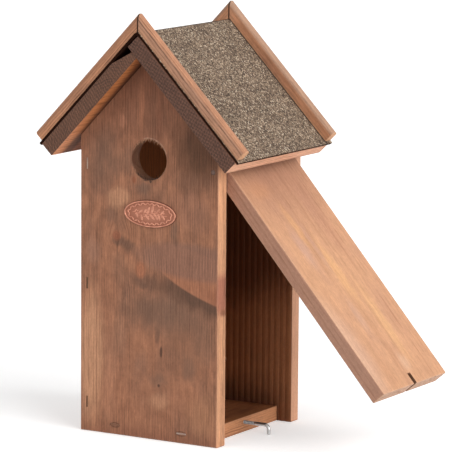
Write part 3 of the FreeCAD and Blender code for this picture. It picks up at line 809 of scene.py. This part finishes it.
@dataclass
class BoxShell:
    """The front, back, left wall and floor."""

    wall_staples: tuple[float, ...] = (23.5, 119.2)
    wall_staple_across: float = -57.5
    floor_staples: tuple[float, ...] = (-30.8, 30.8)
    floor_staple_height: float = 7.5
    rim_highlight_radius: float = 16.9
    rim_highlight_angles: tuple[float, ...] = (-8.0, 8.0, 26.0, 44.0, 62.0)

    def dress_front(self) -> Piece:
        """Stain the front: knots, grey weathering, a lighter wedge at the right edge, painted light and
        shade.

        Returns:
            The front.
        """
        knots = [
            Knot(-29.8, 159.8, 4.4, 4.4, Tint(166, 102, 74), 0.75, sweep=0.8),
            Knot(-7.4, 134, 5.2, 7.5, Tint(170, 108, 78), sweep=0.35),
            Knot(-13.8, 205.8, 1.8, 2.6, Tint(150, 90, 62), 0.7),
            Knot(11.9, 71.3, 1.3, 5, Tint(76, 50, 40)),
            Knot(9.6, 44.3, 1.2, 1.4, Tint(76, 50, 40)),
        ]
        torn_marks = [
            Mark(0, 310, 110, 108, Tint(128, 80, 58), 0.75, core=0.05),
            Mark(46, 232, 34, 44, Tint(92, 60, 40), 0.85),
            Mark(-44, 222, 22, 38, GREY, 0.45),
            Mark(-20, 222, 7, 18, GREY, 0.5),
            Mark(-7, 262, 4, 26, ORANGE, 0.5),
            Mark(9, 250, 4, 30, Tint(150, 94, 68), 0.45),
            Mark(-28, 190, 13, 11, PALE, 0.65, core=0.5),
            Mark(32, 186, 28, 16, Tint(160, 111, 87), 0.5, core=0.5),
            Mark(40, 206, 36, 13, Tint(126, 88, 68), 0.5),
            Mark(8, 249, 24, 17, Tint(112, 73, 54), 0.4),
            Mark(-30, 215, 13, 15, GREY, 0.4),
            Mark(-5.5, 199, 10, 6, GREY, 0.7),
            Mark(-34, 176, 9, 10, GREY, 0.4),
            Mark(-19, 152.5, 15, 8, UMBER, 0.7, turn=28),
            Mark(23.5, 168, 6, 15, GREY, 0.6),
            Mark(48, 178, 15, 18, Tint(130, 92, 73), 0.5),
            Mark(14, 150, 9, 17, Tint(180, 122, 93), 0.5),
            Mark(20, 102, 62, 26, GREY, 0.75),
            Mark(-2, 125, 24, 9, UMBER, 0.6, turn=8),
            Mark(54, 117, 62, 17, Tint(94, 67, 52), 0.9, turn=13, core=0.35),
            Mark(52, 82, 20, 26, GREY, 0.5),
            Mark(-52, 146, 10, 16, Tint(172, 126, 103), 0.5),
            Mark(-28, 134, 12, 18, GREY, 0.35),
            Mark(-28, 80, 10, 24, Tint(168, 120, 93), 0.5),
            Mark(-4, 102, 14, 14, UMBER, 0.4),
            Mark(52, 23, 24, 26, Tint(174, 122, 90), 0.75),
            Mark(30, 78, 26, 32, Tint(128, 90, 69), 0.35),
            Mark(9, 84, 3.4, 12, UMBER, 0.55),
            Mark(9, 48, 11, 9, GREY, 0.5),
            Mark(38, 60, 10, 15, GREY, 0.6),
            Mark(-6, 58, 8, 16, Tint(138, 100, 80), 0.4),
            Mark(-53, 62, 15, 74, PALE, 0.9, core=0.35),
            Mark(-36, 50, 9, 52, Tint(178, 125, 96), 0.5),
            Mark(10, 31, 13, 9, PALE, 0.5),
            Mark(0, -2, 110, 17, Tint(142, 94, 71), 0.7),
        ]
        patches = [
            Mark(55.7, 131.9, 60, 18, Tint(174, 115, 85), 0.85, turn=18.5, core=0.9),
            Mark(64, 119, 14, 10, Tint(144, 91, 65), 0.8),
            Mark(42, 144.5, 62, 17, Tint(140, 101, 83), 0.8, turn=3, core=0.65),
            # painted shade: a dark ring round the plaque's edge where it meets the front
            Mark(1.6, 179.5, 24.7, 11.4, Tint(98, 66, 51), 0.7, core=0.94),
            Mark(-24.5, 250.5, 4.4, 8.5, Tint(186, 126, 97), 0.6, core=0.3),
            Mark(-28.6, 156.8, 7.2, 6.6, UMBER, 0.6, core=0.5),
            Mark(-5.4, 121.8, 5.5, 3.6, UMBER, 0.55, core=0.3),
            Mark(-13.5, 206, 3.4, 4.6, Tint(148, 88, 60), 0.5),
            # painted shade: dark spots just under the entrance's lower rim
            Mark(1.6, 205.6, 1.5, 2.4, SEAM_AND_SHADE, 0.95, core=0.5),
            Mark(-2.8, 206, 2.6, 1.4, SEAM_AND_SHADE, 0.9, core=0.5),
        ]
        # painted highlights: pale arcs along the entrance's upper right rim
        for angle in self.rim_highlight_angles:
            across = self.rim_highlight_radius * sin(radians(angle))
            along = ENTRANCE_HEIGHT + self.rim_highlight_radius * cos(radians(angle))
            patches.append(Mark(across, along, 3.6, 0.8, Tint(184, 146, 120), 0.7, turn=angle, core=0.3))
        # painted shade: a dark halo round each wall staple's seat
        patches += [Mark(self.wall_staple_across, height, 0.9, 5.2, SEAM_AND_SHADE, 0.35, core=0.7, square=True)
                    for height in self.wall_staples]
        # painted shade: a dark ring round each floor staple's seat, lighter inside
        for offset in self.floor_staples:
            patches += [Mark(offset, self.floor_staple_height, 5.6, 2.7, Tint(92, 60, 45), 0.75, core=0.6),
                        Mark(offset, self.floor_staple_height, 4.2, 1.7, Tint(156, 108, 82), 0.8, core=0.5)]
        edges = [
            Mark(64, 121, 2.4, 20, Tint(156, 98, 77), 0.9, core=0.55),
            Mark(63.5, 106, 2.4, 4.2, Tint(132, 82, 58), 0.85, core=0.2, deep=9, half_deep=8),
        ]
        lie = BoardLie((0.0, FRONT, 0.0))
        return FRONT_WOOD.dress(packed("front_panel"), lie, knots, torn_marks, patches, edges)

    def dress_back(self) -> Piece:
        """Stain the back, with the door's painted shadow on the upper inner face and painted shade low inside
        by the floor.

        Returns:
            The back.
        """
        knots = [Knot(-22, 96, 5, 7, Tint(88, 50, 34)), Knot(30, 190, 4, 5.5, Tint(92, 54, 38))]
        torn_marks = [
            # painted shadow: the door's shadow over the upper part of the inner face
            Mark(0, 236, 170, 158, Tint(88, 41, 14), 0.82, core=0.8, deep=-13, half_deep=9),
            # painted light: lighter over the lower right of the back, inside and on its right edge
            Mark(62, 50, 60, 90, Tint(182, 120, 80), 0.65),
            # painted shade: darker low on the inner face, by the floor
            Mark(-10, 0, 132, 46, Tint(66, 34, 18), 0.85, deep=-13, half_deep=9),
            Mark(0, 150, 900, 900, Tint(156, 107, 80), 0.8, core=0.6, half_deep=7),
            Mark(-30, 170, 24, 60, GREY, 0.5, half_deep=7),
            Mark(34, 90, 20, 50, GREY, 0.45, half_deep=7),
            Mark(0, 300, 120, 70, UMBER, 0.5, core=0.05, half_deep=7),
        ]
        return INNER_WOOD.dress(packed("back_panel"), BoardLie((0.0, -FRONT, 0.0)), knots, torn_marks)

    def dress_wall(self) -> Piece:
        """Stain the left wall, with a lighter patch inside under the roof.

        Returns:
            The wall.
        """
        knots = [
            Knot(-12, 150, 5.5, 7.5, Tint(104, 60, 40), 0.85),
            Knot(24, 62, 4, 5, Tint(112, 66, 44)),
            Knot(-34, 205, 3, 4, Tint(100, 58, 40)),
        ]
        torn_marks = [
            Mark(10, 110, 30, 60, PALE, 0.4),
            Mark(-24, 60, 18, 50, GREY, 0.4),
            Mark(0, 240, 70, 50, GREY, 0.45, core=0.05),
        ]
        patches = [Mark(22, 206, 42, 46, Tint(192, 118, 68), 0.9, core=0.6, deep=-12, half_deep=5)]
        lie = BoardLie((FRONT, 0.0, 0.0), DEPTH)
        return PANEL_WOOD.dress(packed("left_wall"), lie, knots, torn_marks, patches)

    def dress_floor(self) -> Piece:
        """Stain the floor, whose grain runs from front to back."""
        knots = [Knot(-18, -14, 4, 6, Tint(104, 62, 42))]
        return FLOOR_WOOD.dress(packed("floor_board"), BoardLie(grain=DEPTH), knots)

    def dress(self) -> list[Piece]:
        """Dress all four boards."""
        return [self.dress_front(), self.dress_back(), self.dress_wall(), self.dress_floor()]


@dataclass
class SideDoor:
    """The door, as it hangs open on its nails."""

    pivot: Triple = (58.5, 0.0, 216.544)
    open_angle: float = 41.0

    def dress(self) -> list[Piece]:
        """Stain the door along its own length, with painted shade at its slot.

        Returns:
            The door.
        """
        angle = radians(self.open_angle)
        lie = BoardLie(self.pivot, DEPTH, (-sin(angle), 0.0, cos(angle)))
        torn_marks = [
            Mark(-14, -62, 7, 34, Tint(208, 156, 108), 0.7),
            Mark(0, -108, 9, 46, Tint(208, 158, 111), 0.65),
            Mark(14, -160, 9, 52, Tint(208, 160, 115), 0.65),
            Mark(-28, -26, 20, 12, Tint(206, 148, 102), 0.6),
            Mark(-24, -82, 9, 26, Tint(182, 142, 122), 0.7),
            Mark(-6, -84, 4, 40, Tint(180, 138, 116), 0.5),
            Mark(-14, -150, 7, 26, Tint(182, 142, 120), 0.6),
            Mark(28, -60, 16, 60, Tint(176, 126, 99), 0.5),
            Mark(34, -160, 10, 50, Tint(180, 132, 104), 0.4),
            Mark(0, 16, 130, 122, Tint(148, 104, 83), 0.82, core=0.05),
            Mark(5, -198, 8, 12, Tint(204, 168, 142), 0.4),
            Mark(-50, -176, 22, 68, Tint(198, 158, 133), 0.7),
        ]
        # painted shade: the hook's slot darkened where shade falls in it
        slit_shade = Mark(0, -216.1, 2.5, 10.3, Tint(74, 46, 33), 0.9, core=0.85, square=True)
        return [DOOR_WOOD.dress(packed("side_door"), lie, (), torn_marks, [slit_shade])]


@dataclass
class Roof:
    """The two roof boards, the felt and the four capping strips."""

    slope: float = 46.0
    ridge: Triple = (0.0, 0.0, 303.0)
    felt_top: float = 14.7
    rear_strip: float = 55.3

    def down(self, side: Side) -> Triple:
        """The direction down one slope."""
        angle = radians(self.slope)
        return side * cos(angle), 0.0, -sin(angle)

    def dress_board(self, side: Side) -> Piece:
        """Stain one board, whose rough end shows at the front, with painted light and shade near that end.

        Args:
            side: Which board.

        Returns:
            The board.
        """
        torn_marks = [Mark(108, 0, 84, 400, Tint(176, 114, 78), 0.85, core=0.1)]
        if side is Side.RIGHT:
            wood = RIGHT_ROOF_WOOD
            # painted shade: a dark band along the top of the front end, under the felt's edge
            patches = [Mark(60, -83, 400, 4, Tint(64, 42, 33), 0.9, core=0.6, deep=-12.5, half_deep=4)]
        else:
            wood = LEFT_ROOF_WOOD
            patches = [
                # painted light: bright bands on the underside along the front end, palest toward the eave
                Mark(60, -84, 400, 19, Tint(200, 126, 74), 0.8, core=0.3, half_deep=6),
                Mark(130, -84, 90, 19, Tint(222, 156, 116), 0.8, core=0.2, half_deep=6),
                # painted shade: a dark band on the underside next to the front wall
                Mark(60, -61, 400, 10, Tint(62, 32, 16), 0.75, core=0.3, half_deep=6),
            ]
        board = packed(f"roof_board_{side.name.lower()}")
        return wood.dress(board, BoardLie(self.ridge, self.down(side), DEPTH), (), torn_marks, patches)

    def dress_felt(self) -> Piece:
        """Cover the felt with granules.

        Returns:
            The felt.
        """
        sheet = packed("roof_felt")
        depths = [vertex.co.y / MM for vertex in sheet.data.vertices]
        middle, length = (min(depths) + max(depths)) / 2, max(depths) - min(depths)
        felt = FeltFinish(self.slope, self.ridge[2], self.felt_top, middle, length, self.rear_strip)
        return felt.dress(sheet)

    def dress_strip(self, verge: Verge, side: Side) -> Piece:
        """Stain one strip along its length, greyer on top from weathering and painted shade, and lighter at
        its lower end.

        Args:
            verge: At which end of the roof it is.
            side: On which slope it is.

        Returns:
            The strip.
        """
        strip = packed(f"{verge.value}_strip_{side.name.lower()}")
        lie = BoardLie(self.ridge, DEPTH, self.down(side))
        low, high = lie.extent(strip)
        middle = (low + high) / 2
        if verge is Verge.REAR:
            wood, grey, skin = REAR_STRIP_WOOD, Tint(156, 126, 106), 4.0
        else:
            wood = NEAR_STRIP_WOOD if side is Side.RIGHT else STRIP_WOOD
            grey, skin = Tint(168, 120, 92), 7.0
        lower_end = Mark(middle.x, high.z, 20, 34, Tint(216, 152, 110), 0.6)
        # grey weathering on the strip's top, with painted shade that tones down the light on its rounded top
        weathered_and_shaded = Mark(middle.x, middle.z, 900, 900, grey, 0.8, core=0.4,
                         deep=high.y if side is Side.RIGHT else low.y, half_deep=skin)
        return wood.dress(strip, lie, (), [lower_end], [weathered_and_shaded])

    def dress(self) -> list[Piece]:
        """Dress the whole roof."""
        covered = [*map(self.dress_board, Side), self.dress_felt()]
        return covered + [self.dress_strip(verge, side) for verge in Verge for side in Side]


@dataclass
class Ironwork:
    """The hook, hinge nails, staples and pins."""

    zinc: MetalFinish = MetalFinish(
        "zinc_wire", Tint(196, 196, 195), Tint(96, 92, 90), 0.3, 0.35, thread=Thread(8.0, 62.2, 1.2, 1.46))
    steel: MetalFinish = MetalFinish("staple_wire", Tint(128, 116, 108), Tint(50, 38, 32), 0.45, 0.9)
    walls: MetalFinish = MetalFinish(
        "wall_staples", Tint(170, 146, 130), Tint(92, 66, 46), 0.4, 0.4, 0.6, rust=(Axis.ALONG, 180.0))
    floors: MetalFinish = MetalFinish(
        "floor_staples", Tint(186, 168, 156), Tint(132, 92, 70), 0.4, 0.4, 0.6, rust=(Axis.ACROSS, 0.0))
    stained: MetalFinish = MetalFinish("nail_heads", Tint(112, 88, 78), Tint(84, 62, 50), 0.55, 0.7, 0.6)
    nails: tuple[str, ...] = ("hinge_nail_front", "hinge_nail_rear")
    hidden: tuple[str, ...] = (
        "back_wall_staples", "back_floor_staples", "roof_staples_left", "roof_staples_right",
        "strip_pins_left", "strip_pins_right", "ridge_pins")

    def dress(self) -> list[Piece]:
        """Dress all the metal."""
        return [
            *self.zinc.dress(packed("latch_hook")),
            *self.stained.dress(*map(packed, self.nails)),
            *self.walls.dress(packed("front_wall_staples")),
            *self.floors.dress(packed("front_floor_staples")),
            *self.steel.dress(*map(packed, self.hidden)),
        ]


@dataclass
class OvalPlaque:
    """The oval plate below the entrance: a raised rim, and a leafy branch in a wreath on a domed field."""

    centre: Triple = (1.6, FRONT, 179.5)
    length: float = 47.5
    tall: float = 21.0
    thick: float = 1.2
    ease: float = 0.3
    rim: float = 0.65
    rim_slope: float = 0.35
    sunk: float = 0.55
    dome: tuple[tuple[float, float], ...] = ((0.8, 0.09), (0.7, 0.07), (0.5, 0.03))
    margin: float = 0.5
    relief: float = 0.12
    twig_joints: int = 22
    twig_share: float = 0.7
    twig_sway: float = 0.8
    twig_wave: float = 3.4
    twig_joint: Triple = (1.0, 0.34, 0.34)
    leaves: int = 14
    leaf_share: float = 0.62
    leaf_start: float = -1.4
    leaf_lean: tuple[float, float] = (46.0, 20.0)
    leaf_reach: float = 3.4
    leaf_taper: float = 0.09
    leaf_width: float = 0.36
    leaf_height: float = 0.42
    berry: Triple = (0.62, 0.62, 0.4)
    berry_offset: tuple[float, float] = (1.2, 1.5)
    wreath_leaves: int = 38
    wreath_share: tuple[float, float] = (0.87, 0.84)
    wreath_bunching: float = 0.2
    wreath_lean: float = 38.0
    wreath_leaf: Triple = (1.7, 0.62, 0.4)
    copper: MetalFinish = MetalFinish(
        "copper_plate", Tint(208, 146, 121), Tint(132, 80, 61), 0.46, 0.9, 0.85, 0.6, 0.05, face=-64.7)

    def build(self) -> Piece:
        """Build the plate.

        Returns:
            The finished piece.
        """
        shape = bmesh.new()
        bmesh.ops.create_circle(shape, cap_ends=True, segments=96, radius=1.0)
        bmesh.ops.scale(shape, vec=(self.length / 2, self.tall / 2, 1.0), verts=shape.verts)
        top = self._raised(shape, shape.faces[:][0], 1.0, self.thick)
        bmesh.ops.bevel(shape, geom=list(top.edges), offset=self.ease, segments=3, profile=0.5,
                        affect="EDGES", material=-1)
        caps = [face for face in shape.faces if len(face.verts) > 8]
        top = max(caps, key=lambda face: face.calc_center_median().z)
        for wide, rise in ((self.rim, 0.0), (self.rim_slope, -self.sunk)):
            bmesh.ops.inset_region(shape, faces=[top], thickness=wide, depth=rise, use_even_offset=True)
        for shrink, rise in self.dome:
            top = self._raised(shape, top, shrink, rise)
        level = self.thick - self.sunk + self.relief
        half_long, half_tall = (size / 2 - self.rim - self.margin for size in (self.length, self.tall))
        self._branch(shape, level, half_long)
        self._wreath(shape, level, half_long, half_tall)
        turn = Matrix.Rotation(radians(90.0), 4, "X")
        place = Matrix.Scale(MM, 4) @ Matrix.Translation(Vector(self.centre)) @ turn
        bmesh.ops.transform(shape, matrix=place, verts=shape.verts)
        bmesh.ops.recalc_face_normals(shape, faces=shape.faces)
        return finished(shape, "oval_plate")

    @staticmethod
    def _raised(shape: Shape, face: bmesh.types.BMFace, shrink: float, rise: float) -> bmesh.types.BMFace:
        """Draw a face upward.

        Args:
            shape: The plate.
            face: The face.
            shrink: How wide the new face is beside the old one.
            rise: How far it is drawn.

        Returns:
            The new face.
        """
        drawn = bmesh.ops.extrude_face_region(shape, geom=[face])["geom"]
        verts = [item for item in drawn if isinstance(item, bmesh.types.BMVert)]
        bmesh.ops.scale(shape, vec=(shrink, shrink, 1.0), verts=verts)
        bmesh.ops.translate(shape, vec=(0.0, 0.0, rise), verts=verts)
        return next(item for item in drawn if isinstance(item, bmesh.types.BMFace))

    def _branch(self, shape: Shape, level: float, half_long: float) -> None:
        """Lay a wavy twig with leaves and berries along the field.

        Args:
            shape: The plate, lying flat with its face up.
            level: The field's height.
            half_long: Half the field's length.
        """
        for index in range(self.twig_joints):
            along = ((index + 0.5) / self.twig_joints * 2 - 1) * half_long * self.twig_share
            lift, slope = self._twig(along)
            self._bud(shape, (along, lift, level + 0.1), slope, self.twig_joint)
        for index in range(self.leaves):
            chance = (index * GOLDEN) % 1.0
            side = -1 if index % 2 else 1
            along = ((index + 0.5) / self.leaves * 2 - 1) * half_long * self.leaf_share + self.leaf_start
            lift, slope = self._twig(along)
            lean = slope + side * radians(self.leaf_lean[0] + self.leaf_lean[1] * chance)
            reach = (self.leaf_reach - self.leaf_taper * abs(along)) * (0.9 + 0.2 * chance)
            place = (along + reach * cos(lean), lift + reach * sin(lean), level + 0.06)
            self._bud(shape, place, lean, (reach, self.leaf_width * reach, self.leaf_height))
            forward, aside = self.berry_offset
            self._bud(shape, (along + forward, lift - side * aside, level), 0.0, self.berry)

    def _wreath(self, shape: Shape, level: float, half_long: float, half_tall: float) -> None:
        """Lay a wreath of small leaves round the field.

        Args:
            shape: The plate, lying flat with its face up.
            level: The field's height.
            half_long: Half the field's length.
            half_tall: Half the field's height on the box.
        """
        for index in range(self.wreath_leaves):
            step = 2 * pi * index / self.wreath_leaves
            around = step + self.wreath_bunching * sin(2 * step)
            place = (self.wreath_share[0] * half_long * cos(around),
                     self.wreath_share[1] * half_tall * sin(around), level)
            heading = atan2(half_tall * cos(around), -half_long * sin(around))
            lean = radians(self.wreath_lean if index % 2 else -self.wreath_lean)
            self._bud(shape, place, heading + lean, self.wreath_leaf)

    def _twig(self, along: float) -> tuple[float, float]:
        """The twig's height and slope, in radians, at a place along the plate."""
        phase = along / self.twig_wave
        return self.twig_sway * sin(phase), atan(self.twig_sway / self.twig_wave * cos(phase))

    @staticmethod
    def _bud(shape: Shape, place: Triple, angle: float, size: Triple) -> None:
        """Add one flattened oval that points along an angle, in radians, with half its size each way."""
        matrix = (Matrix.Translation(Vector(place)) @ Matrix.Rotation(angle, 4, "Z")
                  @ Matrix.Diagonal(Vector((*size, 1.0))))
        bmesh.ops.create_uvsphere(shape, u_segments=12, v_segments=7, radius=1.0, matrix=matrix)

    def dress(self) -> list[Piece]:
        """Build the plate and dress it in copper.

        Returns:
            The plate.
        """
        plate = self.build()
        self.copper.dress(packed("oval_plaque"), plate)
        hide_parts("oval_plaque")
        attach(plate, "box")
        return [plate]


@dataclass
class EntranceFray:
    """The torn fibres at the top and bottom of the entrance's rim."""

    count: int = 44
    spread: float = 66.0
    scatter: float = 3.0
    inset: float = 0.3
    least_length: float = 1.4
    more_length: float = 3.0
    least_radius: float = 0.25
    more_radius: float = 0.35
    tip_radius: float = 0.04

    def build(self) -> Piece:
        """Build the fibres as thin tapered slivers that stand in the grain's direction.

        Returns:
            The finished piece.
        """
        shape = bmesh.new()
        ring = ENTRANCE_RADIUS + self.inset
        for index in range(self.count):
            for side in (-1, 1):
                chance = (index * GOLDEN + (0.31 if side > 0 else 0.0)) % 1.0
                second = (index * 0.377 + 0.2 * side) % 1.0
                around = radians((index / (self.count - 1) * 2 - 1) * self.spread + self.scatter * chance)
                length = (self.least_length + self.more_length * chance ** 3) * cos(around)
                root = Vector((ring * sin(around), FRONT + 0.1 + 0.9 * second,
                               ENTRANCE_HEIGHT + side * ring * cos(around)))
                way = Vector((0.5 * (second - 0.5), -0.45 * chance, -side)).normalized()
                turn = way.to_track_quat("Z", "Y").to_matrix().to_4x4()
                bmesh.ops.create_cone(shape, cap_ends=True, segments=5, depth=length, radius2=self.tip_radius,
                                      radius1=self.least_radius + self.more_radius * second,
                                      matrix=Matrix.Translation(root + way * length / 2) @ turn)
        bmesh.ops.scale(shape, vec=(MM, MM, MM), verts=shape.verts)
        return finished(shape, "entrance_fray")

    def dress(self) -> list[Piece]:
        """Build the fibres and colour them, with a painted highlight over the hole and painted shade under
        it.

        Returns:
            The fibres.
        """
        fray = self.build()
        # painted shade on the fibres under the hole, painted highlight on those over it
        patches = [Mark(0, ENTRANCE_HEIGHT - 17, 24, 9, Tint(40, 26, 20), 0.9, core=0.7),
                   Mark(0, ENTRANCE_HEIGHT + 17, 24, 9, PALE, 0.6, core=0.7)]
        FRAY_WOOD.dress(fray, BoardLie((0.0, FRONT, 0.0)), patches=patches)
        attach(fray, "box")
        return [fray]


@dataclass(frozen=True)
class Lamp:
    """A broad soft light, far away, whose level is how brightly it lights a white sheet that faces it."""

    name: str
    azimuth: float
    elevation: float
    level: float
    softness: float = 60.0

    def build(self) -> None:
        """Set up the light."""
        data = bpy.data.lights.new(self.name, "SUN")
        data.angle = radians(self.softness)
        data.energy = self.level * pi
        light = bpy.data.objects.new(self.name, data)
        source = toward(self.azimuth, self.elevation)
        light.matrix_world = source.to_track_quat("Z", "Y").to_matrix().to_4x4()
        bpy.context.scene.collection.objects.link(light)


@dataclass
class Studio:
    """A white room: a pale floor, a soft key light from the right, a faint fill and the camera."""

    target: Triple = (32.254, 0.0, 164.371)
    azimuth: float = 31.073
    elevation: float = 8.923
    roll: float = 0.435
    distance: float = 2696.3
    focal_pixels: float = 3403.5
    picture: float = 452.0
    sensor: float = 36.0
    far: float = 50.0
    sky: float = 0.45
    floor_radius: float = 6.0
    floor_height: float = -0.0003
    floor_lift: float = 0.42
    floor_tint: Tint = Tint(236, 236, 236)
    white: Tint = Tint(255, 255, 255)
    lamps: tuple[Lamp, ...] = (Lamp("key", 80.0, 20.0, 1.15), Lamp("fill", -20.0, 35.0, 0.12))

    def build_camera(self) -> None:
        """Place the camera at the photograph's viewing angle."""
        azimuth, roll = radians(self.azimuth), radians(self.roll)
        ahead = -toward(self.azimuth, self.elevation)
        level = Vector((cos(azimuth), sin(azimuth), 0.0))
        upward = level.cross(ahead)
        right = level * cos(roll) + upward * sin(roll)
        up = upward * cos(roll) - level * sin(roll)
        data = bpy.data.cameras.new("camera")
        data.sensor_fit = "HORIZONTAL"
        data.sensor_width = self.sensor
        data.lens = self.focal_pixels / self.picture * self.sensor
        data.clip_end = self.far
        camera = bpy.data.objects.new("camera", data)
        place = (Vector(self.target) - ahead * self.distance) * MM
        camera.matrix_world = Matrix.Translation(place) @ Matrix((right, up, -ahead)).transposed().to_4x4()
        bpy.context.scene.collection.objects.link(camera)
        bpy.context.scene.camera = camera

    def build_floor(self) -> None:
        """Lay a round pale floor under the box, whose glow only the camera sees."""
        shape = bmesh.new()
        bmesh.ops.create_circle(shape, cap_ends=True, segments=96, radius=self.floor_radius)
        bmesh.ops.translate(shape, verts=shape.verts, vec=(0.0, 0.0, self.floor_height))
        floor = finished(shape, "studio_floor", smooth=False)
        paint = Surface("studio_floor")
        paint.cover(floor, Base_Color=self.floor_tint, Roughness=0.95, Specular_IOR_Level=0.0,
                    Emission_Color=self.white, Emission_Strength=paint.times(paint.seen(), self.floor_lift))

    def build_sky(self) -> None:
        """Light the room evenly, with a white backdrop behind it."""
        world = bpy.data.worlds.new("studio_sky")
        world.use_nodes = True
        sky = Nodes(world.node_tree)
        strength = sky.fade(sky.seen(), 0.0, 1.0, self.sky, 1.0)
        background = sky.node("Background", {"Color": self.white, "Strength": strength})
        sky.node("OutputWorld", {"Surface": background.outputs["Background"]})
        bpy.context.scene.world = world

    def build(self) -> None:
        """Build the whole room."""
        self.build_camera()
        self.build_floor()
        self.build_sky()
        for lamp in self.lamps:
            lamp.build()
        bpy.context.scene.view_settings.view_transform = "Standard"


def main() -> None:
    """Dress each part of the box in order, then build the studio round it."""
    logging.basicConfig(level=logging.INFO, format="%(message)s")
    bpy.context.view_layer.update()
    for assembly in (BoxShell(), EntranceFray(), SideDoor(), Roof(), OvalPlaque(), Ironwork()):
        for piece in assembly.dress():
            LOG.info("%s: %s is dressed", type(assembly).__name__, piece.name)
    Studio().build()
    LOG.info("the studio is built")


if __name__ == "__main__":
    main()
